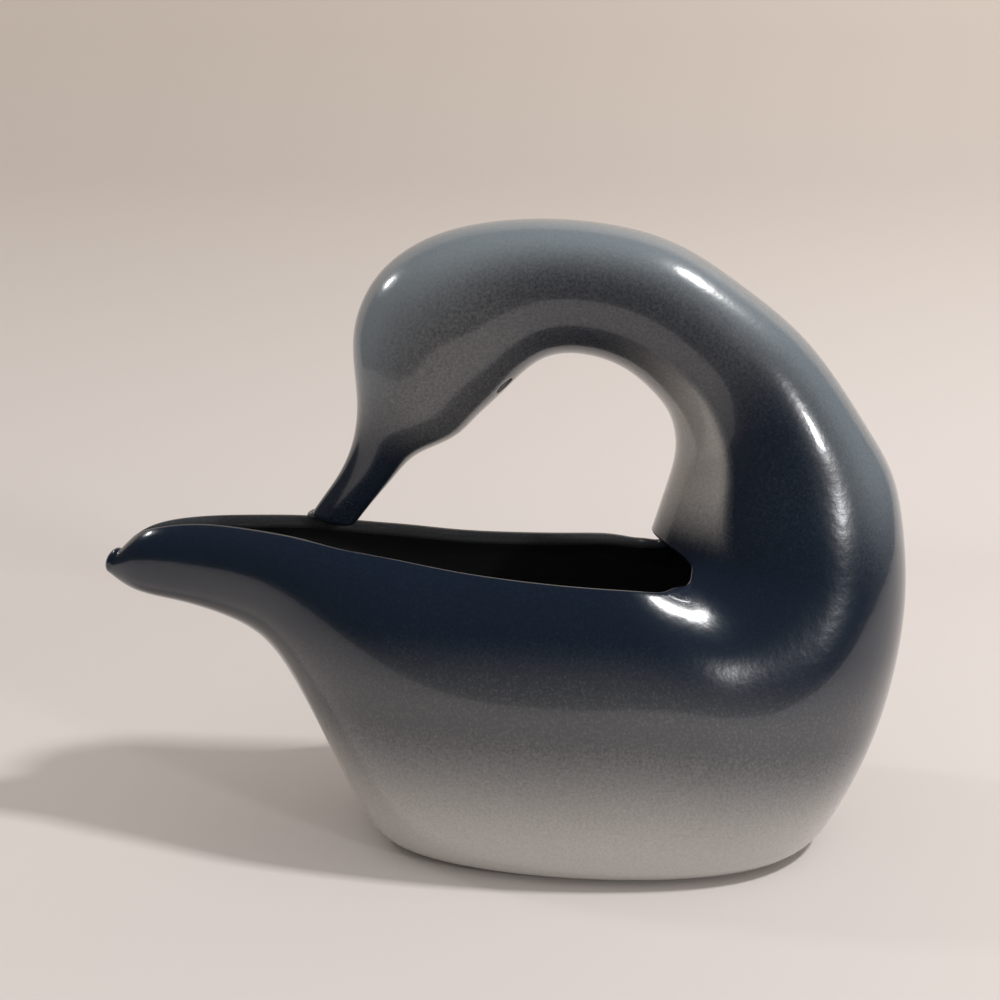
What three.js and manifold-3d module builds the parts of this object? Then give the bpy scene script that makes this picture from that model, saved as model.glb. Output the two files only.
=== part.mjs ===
import * as THREE from 'three';
import { mergeVertices } from 'three/addons/utils/BufferGeometryUtils.js';
import Module from 'manifold-3d';

const wasm = await Module();
wasm.setup();

// A slip-cast, glazed swan bowl. The bird's form is lofted over ribs that fan from the tail,
// round the bowl and up the neck to the beak. Millimetres, +Z up, +X towards the chest.

// Wall of the bowl casting and of the neck casting.
const BOWL_WALL = 4.6;
const NECK_WALL = 4.2;
// Thickness of the bowl's floor above the foot ring.
const FLOOR_WALL = 5;
// Joining slip between the two castings, and how far it stays inside the outer surface.
const SLIP_THICKNESS = 1;
const SLIP_INSET = 0.5;
// Foot ring under the bowl.
const FOOT_HEIGHT = 2;
const FOOT_LENGTH = 118;
const FOOT_WIDTH = 64;
const FOOT_BAND = 5;
const FOOT_CENTRE = 29;
const FOOT_ROOT = 1.2;
// Radius that rounds the bowl's lower edge into its flat underside.
const BASE_ROUND = 7;
// Vent in the throat that lets the hollow neck breathe in the kiln.
const VENT_LENGTH = 9;
const VENT_WIDTH = 4;
const VENT_TURN = -0.3;
// Angle by which the head is turned to the far side, about an upright line through the neck.
const HEAD_TURN = 3.7 * Math.PI / 180;
const TURN_AXIS_X = 83.6;
// Drop of glaze that fuses the beak to the far rim, and the clearance that it keeps.
const GLAZE_DROP = [2.8, 2.4, 2.4];
const GLAZE_PLACE = [-58.2, 14.2, 91.6];
const GLAZE_CLEARANCE = 0.3;

// Each rib: point on the inner line (x, z), point on the outer line (x, z), half width,
// share of the height at which the rib is widest, roundness above and below that line
// (2 is an ellipse), and half width of the bowl's opening there.
const RIBS = [
  [-113.9, 85, -117.9, 77.5, 3.2, 0.5, 2, 2, 0],
  [-105.4, 92, -110.4, 72.5, 8, 0.45, 2, 2, 4.4],
  [-93.4, 94.7, -98.4, 69.3, 11, 0.45, 2.1, 2, 5.6],
  [-76.4, 95.5, -81.4, 64, 15.5, 0.45, 2.2, 2, 9.3],
  [-61.4, 95.3, -70.4, 57, 21, 0.43, 2.3, 2, 14.2],
  [-46.4, 94.5, -60.4, 41, 27, 0.42, 2.3, 2, 18.8],
  [-29.4, 93.3, -48.4, 16, 34.5, 0.42, 2.3, 2.1, 22.7],
  [-13.4, 92.8, -31.4, -12, 40, 0.42, 2.3, 2.3, 26],
  [6.6, 93, -1.4, -28, 45, 0.42, 2.3, 2.5, 30.3],
  [22.6, 93.4, 26.6, -32, 47.5, 0.41, 2.3, 2.6, 33.3],
  [32.6, 93.6, 56.6, -28, 47.8, 0.42, 2.3, 2.6, 34.4],
  [38.1, 90.8, 82.6, -14, 46.5, 0.44, 2.3, 2.4, 32.4],
  [40.6, 88.8, 98.6, 5.5, 43.5, 0.46, 2.3, 2.2, 29.4],
  [41.9, 88, 110.9, 31, 39.5, 0.52, 2.2, 2, 26.8],
  [42.6, 88.2, 116.4, 55, 35, 0.55, 2.1, 2, 25],
  [43.4, 90, 117.8, 75, 31, 0.56, 2, 2, 22.5],
  [44.4, 93, 116.1, 93, 28.5, 0.53, 2, 2, 0],
  [46.8, 101, 112.1, 108.5, 25.8, 0.5, 2, 2, 0],
  [49.3, 110, 104.6, 121, 24.3, 0.5, 2, 2, 0],
  [49.8, 117, 95.1, 134.6, 23, 0.5, 2, 2, 0],
  [47.8, 124.5, 82.6, 149, 21.8, 0.5, 2, 2, 0],
  [42.9, 131, 66.7, 161.5, 21, 0.5, 2, 2, 0],
  [34.3, 137.9, 48.8, 172.6, 20.5, 0.5, 2, 2, 0],
  [22.7, 141.8, 28.8, 178.4, 20, 0.5, 2, 2, 0],
  [11.6, 140.8, 6.6, 179.9, 20, 0.5, 2, 2, 0],
  [4.6, 136, -10.2, 178.2, 20.3, 0.5, 2, 2, 0],
  [-2.4, 129.2, -25.2, 173.3, 20.5, 0.5, 2, 2, 0],
  [-8.6, 123.4, -37.5, 163.6, 19.5, 0.5, 2, 2, 0],
  [-13.9, 118.3, -44.2, 148.5, 18, 0.5, 2, 2, 0],
  [-21.9, 114.2, -43.9, 129, 14, 0.5, 2, 2, 0],
  [-28.4, 110.5, -45.8, 115.6, 9.5, 0.5, 2, 2, 0],
  [-33.9, 104.6, -50.2, 106, 6.8, 0.5, 2, 2, 0],
  [-39.6, 98, -54.4, 100, 5.4, 0.5, 2, 2, 0],
  [-45.2, 91.2, -58.6, 94.2, 4.6, 0.5, 2, 2, 0],
];
const SEAM_RIB = 16;
const OPENING_FIRST_RIB = 0.35;
const OPENING_LAST_RIB = 15.2;
const VENT_RIB = 25.6;
// The hollow ends this many ribs past the vent.
const CAVITY_PAST_VENT = 2.7;
const CAVITY_LAST_RIB = VENT_RIB + CAVITY_PAST_VENT;

// Round ends of the closed forms: tail tip, beak tip and the hollow's end in the head.
const TAIL_ROUND = 2.6;
const BEAK_ROUND = 2.4;
const HOLLOW_ROUND = 8;

// Moves the form so that the origin lies under the middle of its length.
const MIDDLE_SHIFT = 0.54;

// Facets round a rib and along the form.
const BOWL_FACETS = 44;
const NECK_FACETS = 28;
const LIP_FACETS = 4;

// Parameter of each rib: mean distance travelled by its two end points.
const ribParameter = [0];
for (let i = 1; i < RIBS.length; i++) {
  const [a, b] = [RIBS[i - 1], RIBS[i]];
  const inner = Math.hypot(b[0] - a[0], b[1] - a[1]);
  const outer = Math.hypot(b[2] - a[2], b[3] - a[3]);
  ribParameter.push(ribParameter[i - 1] + (inner + outer) / 2);
}

function parameterAt(rib) {
  const i = Math.min(Math.floor(rib), RIBS.length - 2);
  return ribParameter[i] + (rib - i) * (ribParameter[i + 1] - ribParameter[i]);
}

// Second derivatives of a natural cubic spline through one column of the ribs.
function splineCurvature(values) {
  const n = values.length;
  const diagonal = new Array(n).fill(1);
  const upper = new Array(n).fill(0);
  const right = new Array(n).fill(0);
  for (let i = 1; i < n - 1; i++) {
    const before = ribParameter[i] - ribParameter[i - 1];
    const after = ribParameter[i + 1] - ribParameter[i];
    const slopeChange = (values[i + 1] - values[i]) / after - (values[i] - values[i - 1]) / before;
    const pivot = 2 * (before + after) - before * upper[i - 1];
    diagonal[i] = pivot;
    upper[i] = after / pivot;
    right[i] = (6 * slopeChange - before * right[i - 1]) / pivot;
  }
  const curvature = new Array(n).fill(0);
  for (let i = n - 2; i > 0; i--) curvature[i] = right[i] - upper[i] * curvature[i + 1];
  return curvature;
}

const columns = RIBS[0].map((_, c) => RIBS.map((rib) => rib[c]));
const curvatures = columns.map(splineCurvature);

function ribAt(t) {
  let i = 0;
  while (i < RIBS.length - 2 && t > ribParameter[i + 1]) i++;
  const h = ribParameter[i + 1] - ribParameter[i];
  const b = (t - ribParameter[i]) / h;
  const a = 1 - b;
  return columns.map((v, c) => a * v[i] + b * v[i + 1]
    + ((a ** 3 - a) * curvatures[c][i] + (b ** 3 - b) * curvatures[c][i + 1]) * h * h / 6);
}

const SEAM = ribParameter[SEAM_RIB];
const BEAK = ribParameter[RIBS.length - 1];
const SEAM_HEIGHT = RIBS[SEAM_RIB][1];

function smoothStep(x) {
  const c = Math.min(1, Math.max(0, x));
  return c * c * (3 - 2 * c);
}

// The turn of the head grows from nothing at the seam to its full angle above the throat.
const TURN_RATE = 1.35;
function headTurn(point, t) {
  const angle = HEAD_TURN * smoothStep(TURN_RATE * (t - SEAM) / (BEAK - SEAM));
  const x = point.x - TURN_AXIS_X;
  const y = point.y;
  point.x = TURN_AXIS_X + x * Math.cos(angle) + y * Math.sin(angle);
  point.y = -x * Math.sin(angle) + y * Math.cos(angle);
  return point;
}

// Height of a point after the belly is rounded into a flat underside.
function flatten(z, floor) {
  const above = z - floor;
  if (above > BASE_ROUND) return z;
  if (above < -BASE_ROUND) return floor;
  return floor + (above + BASE_ROUND) ** 2 / (4 * BASE_ROUND);
}

const MOST_WALL = 0.6;
function inset(size, wall) {
  return size - Math.min(wall, MOST_WALL * size);
}

// Point of the form at parameter t and angle phi, where 0 is the inner line and pi the
// outer line; wall moves it inwards, and floor is the flat underside's height.
function formPoint(t, phi, wall, floor) {
  const [ax, az, bx, bz, halfWidth, widest, roundUp, roundDown] = ribAt(t);
  const length = Math.hypot(ax - bx, az - bz);
  const ux = (ax - bx) / length;
  const uz = (az - bz) / length;
  const centreX = ax - ux * widest * length;
  const centreZ = az - uz * widest * length;
  const c = Math.cos(phi);
  const s = Math.sin(phi);
  const power = 2 / (c >= 0 ? roundUp : roundDown);
  const reach = inset((c >= 0 ? widest : 1 - widest) * length, wall);
  const along = reach * Math.sign(c) * Math.abs(c) ** power;
  const across = inset(halfWidth, wall) * Math.sign(s) * Math.abs(s) ** power;
  const z = centreZ + uz * along;
  const point = new THREE.Vector3(centreX + ux * along, across, t <= SEAM ? flatten(z, floor) : z);
  return headTurn(point, t);
}

function forward(t) {
  const [ax, az, bx, bz] = ribAt(t);
  const length = Math.hypot(ax - bx, az - bz);
  return headTurn(new THREE.Vector3(TURN_AXIS_X + (az - bz) / length, 0, -(ax - bx) / length), t)
    .sub(new THREE.Vector3(TURN_AXIS_X, 0, 0));
}

function spread(from, to, count, clustered = false) {
  return Array.from({ length: count + 1 }, (_, i) => {
    const share = clustered ? (1 - Math.cos(Math.PI * i / count)) / 2 : i / count;
    return from + (to - from) * share;
  });
}

// A closed shell: an outer skin, an inner skin, an opening with a half-round lip that joins
// them, and an end at each side that is either round or the flat ring of a joint.
function shell(spec) {
  const triangles = [];
  const { open, wall, facets, floor, innerFloor } = spec;
  const openStations = spread(open.from, open.to, open.steps, true);
  const outerStations = [...spread(spec.from, open.from, spec.stepsBefore).slice(0, -1),
    ...openStations, ...spread(open.to, spec.to, spec.stepsAfter).slice(1)];
  const innerStations = [...spread(spec.innerFrom, open.from, spec.innerBefore).slice(0, -1),
    ...openStations, ...spread(open.to, spec.innerTo, spec.innerAfter).slice(1)];
  const gap = (t) => (t > open.from && t < open.to ? open.angle(t) : 0);
  const ring = (t, thickness, base) => Array.from({ length: facets + 1 }, (_, j) => {
    const half = gap(t);
    const closes = half === 0 && j === facets;
    const phi = open.turn + half + (2 * Math.PI - 2 * half) * (closes ? 0 : j / facets);
    const point = formPoint(t, phi, thickness, base);
    if (spec.flatEnd !== undefined && t === spec.flatFrom) point.z = spec.flatEnd;
    return point;
  });
  const outer = outerStations.map((t) => ring(t, 0, floor));
  const inner = innerStations.map((t) => ring(t, wall, innerFloor));

  const face = (a, b, c) => triangles.push(a, c, b);
  const strip = (first, second, flip) => {
    for (let j = 0; j < first.length - 1; j++) {
      const [a, b, c, d] = [first[j], first[j + 1], second[j + 1], second[j]];
      if (flip) {
        face(a, c, b);
        face(a, d, c);
      } else {
        face(a, b, c);
        face(a, c, d);
      }
    }
  };
  for (let i = 0; i < outer.length - 1; i++) strip(outer[i], outer[i + 1], false);
  for (let i = 0; i < inner.length - 1; i++) strip(inner[i], inner[i + 1], true);

  // A round or flat end closes a ring; direction points out of the solid or out of the hollow.
  const closeEnd = (ends, t, depth, sense, flip) => {
    const centre = new THREE.Vector3();
    ends.slice(0, -1).forEach((p) => centre.add(p));
    centre.divideScalar(ends.length - 1);
    const direction = forward(t).multiplyScalar(sense * depth);
    let last = ends;
    const rings = depth > 0 ? 3 : 1;
    for (let k = 1; k < rings; k++) {
      const angle = Math.PI / 2 * k / rings;
      const next = ends.map((p) => centre.clone().lerp(p, Math.cos(angle))
        .addScaledVector(direction, Math.sin(angle)));
      strip(last, next, flip);
      last = next;
    }
    const tip = centre.clone().add(direction);
    for (let j = 0; j < last.length - 1; j++) {
      if (flip) face(last[j], tip, last[j + 1]);
      else face(last[j], last[j + 1], tip);
    }
  };
  const lastOuter = outer[outer.length - 1];
  const lastInner = inner[inner.length - 1];
  if (spec.flatFrom !== undefined && spec.innerFrom === spec.from) {
    strip(inner[0], outer[0], false);
  } else {
    closeEnd(outer[0], spec.from, spec.roundFrom, -1, true);
    closeEnd(inner[0], spec.innerFrom, spec.innerRoundFrom, -1, false);
  }
  closeEnd(lastOuter, spec.to, spec.roundTo, 1, false);
  closeEnd(lastInner, spec.innerTo, spec.innerRoundTo, 1, true);

  // The lip runs round the opening: out along one edge and back along the other.
  const outerAt = (i) => outer[i + spec.stepsBefore];
  const innerAt = (i) => inner[i + spec.innerBefore];
  const count = openStations.length;
  const edge = (pick) => [
    ...openStations.map((_, i) => pick(i)[0]),
    ...openStations.map((_, i) => pick(count - 1 - i)[facets]).slice(1, -1),
  ];
  const outerEdge = edge(outerAt);
  const innerEdge = edge(innerAt);
  const size = outerEdge.length;
  const lip = outerEdge.map((p, k) => {
    const q = innerEdge[k];
    const tangent = outerEdge[(k + 1) % size].clone().sub(outerEdge[(k + size - 1) % size]);
    const across = q.clone().sub(p);
    const bulge = new THREE.Vector3().crossVectors(across, tangent).normalize()
      .multiplyScalar(across.length() / 2 * open.bulge);
    const middle = p.clone().add(q).multiplyScalar(0.5);
    return Array.from({ length: LIP_FACETS + 1 }, (_, m) => {
      if (m === 0) return p;
      if (m === LIP_FACETS) return q;
      const angle = Math.PI * m / LIP_FACETS;
      return middle.clone().addScaledVector(across, -Math.cos(angle) / 2)
        .addScaledVector(bulge, Math.sin(angle));
    });
  });
  for (let k = 0; k < size; k++) strip(lip[k], lip[(k + 1) % size], true);
  return weld(triangles);
}

function weld(points) {
  const geometry = new THREE.BufferGeometry().setFromPoints(points);
  const merged = mergeVertices(geometry, 1e-4);
  const index = merged.index.array;
  const kept = [];
  for (let i = 0; i < index.length; i += 3) {
    const [a, b, c] = index.slice(i, i + 3);
    if (a !== b && b !== c && a !== c) kept.push(a, b, c);
  }
  merged.setIndex(kept);
  return merged;
}

function toSolid(geometry) {
  const bare = geometry.clone();
  bare.deleteAttribute('normal');
  bare.deleteAttribute('uv');
  const merged = mergeVertices(bare, 1e-4);
  return new wasm.Manifold(new wasm.Mesh({
    numProp: 3,
    vertProperties: new Float32Array(merged.attributes.position.array),
    triVerts: new Uint32Array(merged.index.array),
  }));
}

function toGeometry(solid) {
  const mesh = solid.getMesh();
  const geometry = new THREE.BufferGeometry();
  geometry.setAttribute('position', new THREE.BufferAttribute(mesh.vertProperties, 3));
  geometry.setIndex(new THREE.BufferAttribute(mesh.triVerts, 1));
  return geometry;
}

// Angle of the opening's edge from its half width, with a round end at the tail and the neck.
function openingAngle(t) {
  const rib = ribAt(t);
  const nearTail = t < (OPENING.from + OPENING.to) / 2;
  const radius = nearTail ? OPENING_TAIL_ROUND : OPENING_NECK_ROUND;
  const fromEnd = Math.min(radius, nearTail ? t - OPENING.from : OPENING.to - t);
  const ends = Math.sqrt(1 - (1 - fromEnd / radius) ** 2);
  const share = Math.min(MOST_OPEN, Math.max(0, rib[8] * ends / rib[4]));
  return Math.asin(share ** (rib[6] / 2));
}
const MOST_OPEN = 0.98;
const OPENING_TAIL_ROUND = 16;
const OPENING_NECK_ROUND = 12;
const OPENING = {
  from: parameterAt(OPENING_FIRST_RIB),
  to: parameterAt(OPENING_LAST_RIB),
  steps: 36,
  angle: openingAngle,
  turn: 0,
  bulge: 1,
};

function bowlBody() {
  const casting = shell({
    from: 0,
    to: SEAM,
    stepsBefore: 2,
    stepsAfter: 3,
    innerFrom: OPENING.from,
    innerTo: OPENING.to,
    innerBefore: 0,
    innerAfter: 0,
    roundFrom: TAIL_ROUND,
    roundTo: 0,
    innerRoundFrom: 0,
    innerRoundTo: 0,
    facets: BOWL_FACETS,
    wall: BOWL_WALL,
    floor: FOOT_HEIGHT,
    innerFloor: FOOT_HEIGHT + FLOOR_WALL,
    open: OPENING,
  });
  return toGeometry(toSolid(casting).add(toSolid(footRing())));
}

function footRing() {
  const outline = new THREE.Shape().absellipse(0, 0, FOOT_LENGTH / 2, FOOT_WIDTH / 2, 0, 2 * Math.PI);
  const hole = new THREE.Path().absellipse(
    0, 0, FOOT_LENGTH / 2 - FOOT_BAND, FOOT_WIDTH / 2 - FOOT_BAND, 0, 2 * Math.PI);
  outline.holes.push(hole);
  const ring = new THREE.ExtrudeGeometry(outline,
    { depth: FOOT_HEIGHT + FOOT_ROOT, bevelEnabled: false, curveSegments: 48 });
  ring.translate(FOOT_CENTRE, 0, 0);
  return ring;
}

function neckAndHead() {
  const start = SEAM + SLIP_THICKNESS;
  const middle = parameterAt(VENT_RIB);
  const half = VENT_LENGTH / 2;
  return shell({
    from: start,
    to: BEAK,
    stepsBefore: 20,
    stepsAfter: 22,
    innerFrom: start,
    innerTo: parameterAt(CAVITY_LAST_RIB),
    innerBefore: 20,
    innerAfter: 6,
    flatFrom: start,
    flatEnd: SEAM_HEIGHT + SLIP_THICKNESS,
    roundTo: BEAK_ROUND,
    innerRoundTo: HOLLOW_ROUND,
    facets: NECK_FACETS,
    wall: NECK_WALL,
    floor: 0,
    innerFloor: 0,
    open: {
      from: middle - half,
      to: middle + half,
      steps: 8,
      turn: VENT_TURN,
      bulge: 1,
      angle: (t) => {
        const reach = (t - middle) / half;
        return VENT_WIDTH / 2 * Math.sqrt(1 - reach * reach) / ribAt(t)[4];
      },
    },
  });
}

// A flat ring between two outlines of the seam, each drawn in by its own distance.
function joiningSlip() {
  const level = (wall, z) => Array.from({ length: BOWL_FACETS + 1 }, (_, j) => {
    const point = formPoint(SEAM, 2 * Math.PI * (j % BOWL_FACETS) / BOWL_FACETS, wall, 0);
    return point.setZ(z);
  });
  const loops = [
    level(SLIP_INSET, 0),
    level(SLIP_INSET, SLIP_THICKNESS),
    level(NECK_WALL, SLIP_THICKNESS),
    level(NECK_WALL, 0),
  ];
  const triangles = [];
  loops.forEach((loop, k) => {
    const next = loops[(k + 1) % loops.length];
    for (let j = 0; j < BOWL_FACETS; j++) {
      triangles.push(loop[j], next[j + 1], loop[j + 1], loop[j], next[j], next[j + 1]);
    }
  });
  return weld(triangles);
}

function glazeDrop(neighbours) {
  const ball = new THREE.SphereGeometry(1, 20, 14);
  ball.scale(...GLAZE_DROP);
  ball.translate(...GLAZE_PLACE);
  let drop = toSolid(ball);
  const g = GLAZE_CLEARANCE;
  const moves = [[0, 0, g], [0, 0, -g], [0, g, 0], [0, -g, 0], [g, 0, 0], [-g, 0, 0]];
  for (const geometry of neighbours) {
    const solid = toSolid(geometry);
    for (const move of moves) drop = drop.subtract(solid.translate(move));
  }
  const pieces = drop.decompose().sort((a, b) => b.volume() - a.volume());
  return toGeometry(pieces[0]);
}

function glazed(name, geometry, colour, roughness) {
  const material = new THREE.MeshStandardMaterial({ color: colour, roughness, metalness: 0 });
  const mesh = new THREE.Mesh(geometry, material);
  mesh.name = name;
  return mesh;
}

const bowl = glazed('bowl_body', bowlBody(), 0x3d4650, 0.15);
const neck = glazed('neck_and_head', neckAndHead(), 0x2c3a4a, 0.15);
const slip = glazed('neck_joint_slip', joiningSlip(), 0xb8b0a4, 0.9);
slip.position.z = SEAM_HEIGHT;
const drop = glazed('beak_glaze_drop', glazeDrop([bowl.geometry, neck.geometry]), 0x55606c, 0.1);

const swanBowl = new THREE.Group();
swanBowl.add(bowl, slip, neck, drop);
swanBowl.position.x = MIDDLE_SHIFT;
export default swanBowl;
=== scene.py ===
import math

import bmesh
import bpy
import numpy as np
from bpy.props import FloatProperty, FloatVectorProperty, IntProperty, PointerProperty
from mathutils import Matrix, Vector


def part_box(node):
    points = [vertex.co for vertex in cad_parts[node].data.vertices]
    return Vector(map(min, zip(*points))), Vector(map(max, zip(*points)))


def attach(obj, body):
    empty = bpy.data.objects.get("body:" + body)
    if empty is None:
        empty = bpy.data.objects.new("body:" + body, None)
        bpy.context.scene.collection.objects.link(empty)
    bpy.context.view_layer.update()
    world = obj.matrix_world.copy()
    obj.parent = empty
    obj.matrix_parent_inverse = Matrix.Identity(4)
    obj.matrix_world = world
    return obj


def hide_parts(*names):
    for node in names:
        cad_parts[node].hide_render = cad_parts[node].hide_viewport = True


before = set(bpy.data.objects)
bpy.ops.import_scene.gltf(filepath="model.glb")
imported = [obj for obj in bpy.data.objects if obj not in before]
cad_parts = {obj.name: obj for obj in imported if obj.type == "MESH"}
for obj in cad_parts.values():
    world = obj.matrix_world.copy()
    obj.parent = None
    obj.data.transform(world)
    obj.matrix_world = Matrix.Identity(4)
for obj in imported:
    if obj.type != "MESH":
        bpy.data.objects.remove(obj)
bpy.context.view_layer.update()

bl_info = {
    "name": "Swan Bowl",
    "version": (1, 0, 0),
    "blender": (4, 5, 0),
    "location": "View3D > Sidebar > Swan Bowl",
    "description": "Builds a glazed, slip-cast swan bowl and its studio stage",
    "category": "Object",
}

MM = 0.001

# The form is one loft in millimetres. It runs from the tail through the body, up the chest and
# neck and down to the beak. Columns: inner line (x, z), outer line (x, z), half width, share of
# the way from inner to outer line at which the rib is widest, roundness of its inner and outer
# part (2 is an ellipse, more is squarer), half opening.
RIBS = np.array([
    [-113.9, 85, -117.9, 77.5, 3.2, 0.5, 2, 2, 0],
    [-105.4, 92, -110.4, 72.5, 8, 0.45, 2, 2, 4.4],
    [-93.4, 94.7, -98.4, 69.3, 11, 0.45, 2.1, 2, 5.6],
    [-76.4, 95.5, -81.4, 64, 15.5, 0.45, 2.2, 2, 9.3],
    [-61.4, 95.3, -70.4, 57, 21, 0.43, 2.3, 2, 14.2],
    [-46.4, 94.5, -60.4, 41, 27, 0.42, 2.3, 2, 18.8],
    [-29.4, 93.3, -48.4, 16, 34.5, 0.42, 2.3, 2.1, 22.7],
    [-13.4, 92.8, -31.4, -12, 40, 0.42, 2.3, 2.3, 26],
    [6.6, 93, -1.4, -28, 45, 0.42, 2.3, 2.5, 30.3],
    [22.6, 93.4, 26.6, -32, 47.5, 0.41, 2.3, 2.6, 33.3],
    [32.6, 93.6, 56.6, -28, 47.8, 0.42, 2.3, 2.6, 34.4],
    [38.1, 90.8, 82.6, -14, 46.5, 0.44, 2.3, 2.4, 32.4],
    [40.6, 88.8, 98.6, 5.5, 43.5, 0.46, 2.3, 2.2, 29.4],
    [41.9, 88, 110.9, 31, 39.5, 0.52, 2.2, 2, 26.8],
    [42.6, 88.2, 116.4, 55, 35, 0.55, 2.1, 2, 25],
    [43.4, 90, 117.8, 75, 31, 0.56, 2, 2, 22.5],
    [44.4, 93, 116.1, 93, 28.5, 0.53, 2, 2, 0],
    [46.8, 101, 112.1, 108.5, 25.8, 0.5, 2, 2, 0],
    [49.3, 110, 104.6, 121, 24.3, 0.5, 2, 2, 0],
    [49.8, 117, 95.1, 134.6, 23, 0.5, 2, 2, 0],
    [47.8, 124.5, 82.6, 149, 21.8, 0.5, 2, 2, 0],
    [42.9, 131, 66.7, 161.5, 21, 0.5, 2, 2, 0],
    [34.3, 137.9, 48.8, 172.6, 20.5, 0.5, 2, 2, 0],
    [22.7, 141.8, 28.8, 178.4, 20, 0.5, 2, 2, 0],
    [11.6, 140.8, 6.6, 179.9, 20, 0.5, 2, 2, 0],
    [4.6, 136, -10.2, 178.2, 20.3, 0.5, 2, 2, 0],
    [-2.4, 129.2, -25.2, 173.3, 20.5, 0.5, 2, 2, 0],
    [-8.6, 123.4, -37.5, 163.6, 19.5, 0.5, 2, 2, 0],
    [-13.9, 118.3, -44.2, 148.5, 18, 0.5, 2, 2, 0],
    [-21.9, 114.2, -43.9, 129, 14, 0.5, 2, 2, 0],
    [-28.4, 110.5, -45.8, 115.6, 9.5, 0.5, 2, 2, 0],
    [-33.9, 104.6, -50.2, 106, 6.8, 0.5, 2, 2, 0],
    [-39.6, 98, -54.4, 100, 5.4, 0.5, 2, 2, 0],
    [-45.2, 91.2, -58.6, 94.2, 4.6, 0.5, 2, 2, 0],
], dtype=float)
# Columns that are read by themselves.
INNER_HEIGHT, HALF_WIDTH, ROUND_UP, HALF_OPENING = 1, 4, 6, 8

# Places along the form, in ribs.
SEAM_RIB = 16
OPENING_RIBS = (0.35, 15.2)
VENT_RIB = 25.6
CAVITY_RIB = 28.3

# Walls, foot and base in millimetres. A wall takes at most the share MOST_WALL of a half size.
# The foot ring reaches FOOT_ROOT up into the base. The belly rounds into the base over the
# lowest BASE_ROUND.
BOWL_WALL = 4.6
NECK_WALL = 4.2
FLOOR_WALL = 5.0
MOST_WALL = 0.6
FOOT_HEIGHT = 2.0
FOOT_ROOT = 0.4
BASE_ROUND = 7.0

# Vent in the throat: length and width in millimetres, turn from the throat's middle in radians.
VENT_LENGTH = 9.0
VENT_WIDTH = 4.0
VENT_TURN = -0.3

# The neck turns the head to the bird's left, about an upright axis in the chest. A rate above
# 1 ends the turn before the beak.
HEAD_TURN = math.radians(3.7)
TURN_AXIS_X = 83.6
TURN_RATE = 1.35

# Round ends of the opening in millimetres, the largest share of a rib that it takes, and how
# far the lip swells, as a share of half the wall.
OPENING_TAIL_ROUND = 16.0
OPENING_NECK_ROUND = 22.0
MOST_OPEN = 0.98
LIP_BULGE = 0.55

# Domes that close tail, beak and the hollow in the head: depths in millimetres, and rows.
TAIL_ROUND = 2.5
BEAK_ROUND = 2.4
HOLLOW_ROUND = 8.0
END_STEPS = 8

# Keeps the finer skin inside the box of the frame, whose facets cut the curves short.
SKIN_INSET = 0.09
# Puts the origin under the middle of the bowl's length.
MIDDLE_SHIFT = 0.54

# Fades of the glazes along the form, as (start, reach) in ribs.
TAIL_ENDS = (1.0, 6.0)
CHEST_BEGINS = (9.0, 4.0)
PALE_RIM_ENDS = (11.0, 3.0)
NECK_BEGINS = (13.5, 3.0)
BOWL_ENDS = (14.5, 3.0)
ARCH_NAVY_BEGINS = (16.0, 3.0)
ARCH_BEGINS = (18.5, 4.0)
THROAT_ENDS = (20.0, 3.0)
HEAD_BEGINS = (23.0, 4.0)
BEAK_BEGINS = (27.8, 2.6)

# Fades as shares of the way from the inner line to the outer, and the last of the way over
# the lip.
THROAT_SIDE = (0.18, 0.06)
# The crown's fade marks where the top of the head is painted lighter: a painted reflection of a
# pale ceiling, not a glaze.
CROWN_REFLECTION_SIDE = (0.4, 0.4)
NAPE_SIDE = (0.50, 0.38)
LIP_SIDE = (0.05, 0.3)

# Heights on the bowl in millimetres: its shoulder, how far below that grey and navy set in,
# and over what reach they grow full.
SHOULDER_HEIGHT = 70.0
SHOULDER_TAIL_RISE = 3.0
SHOULDER_CHEST_DROP = 8.0
GREY_DEPTH, GREY_REACH = 62.0, 40.0
NAVY_DEPTH, NAVY_REACH = 20.0, 22.0

# How fully each glaze covers, and how much thinner grey is on the throat and navy on the rim
# and nape.
NECK_GREY = 0.92
THROAT_THINNING = 0.62
RIM_THINNING = 0.75
NAPE_THINNING = 0.75
FLANK_NAVY = 0.95
ARCH_NAVY = 0.5
BEAK_NAVY = 0.9
NAPE_BLUE = 0.9
# On the crown the blue-grey is a painted reflection of a pale ceiling, laid over the head's dark
# grey glaze.
CROWN_REFLECTION_BLUE = 0.55

# Scale and strength of the grain that breaks the edge of each spray.
GRAINS = {
    "grey_spray": (1300.0, 0.55),
    "blue_spray_and_crown_reflection": (1100.0, 0.45),
    "navy_spray": (1500.0, 0.5),
    "inner_glaze": (900.0, 0.05),
}

# The drop at the beak: how fully each glaze covers it, and how far its top leans towards the
# chest, as a share of its half length.
POOLED_GLAZE = {"grey_spray": 0.7, "blue_spray_and_crown_reflection": 0.5, "navy_spray": 0.3, "inner_glaze": 0.0}
DROP_LEAN = 0.25

# Foot ring: the clay's darkest mottle as a share of its colour, points round the ring, and
# steps and radius of its softened edges and the distance for merging points in metres.
DARK_CLAY = 0.7
RING_STEPS = 256
EDGE_STEPS = 4
EDGE_RADIUS = 0.0005
MERGE_DISTANCE = 1e-6


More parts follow.
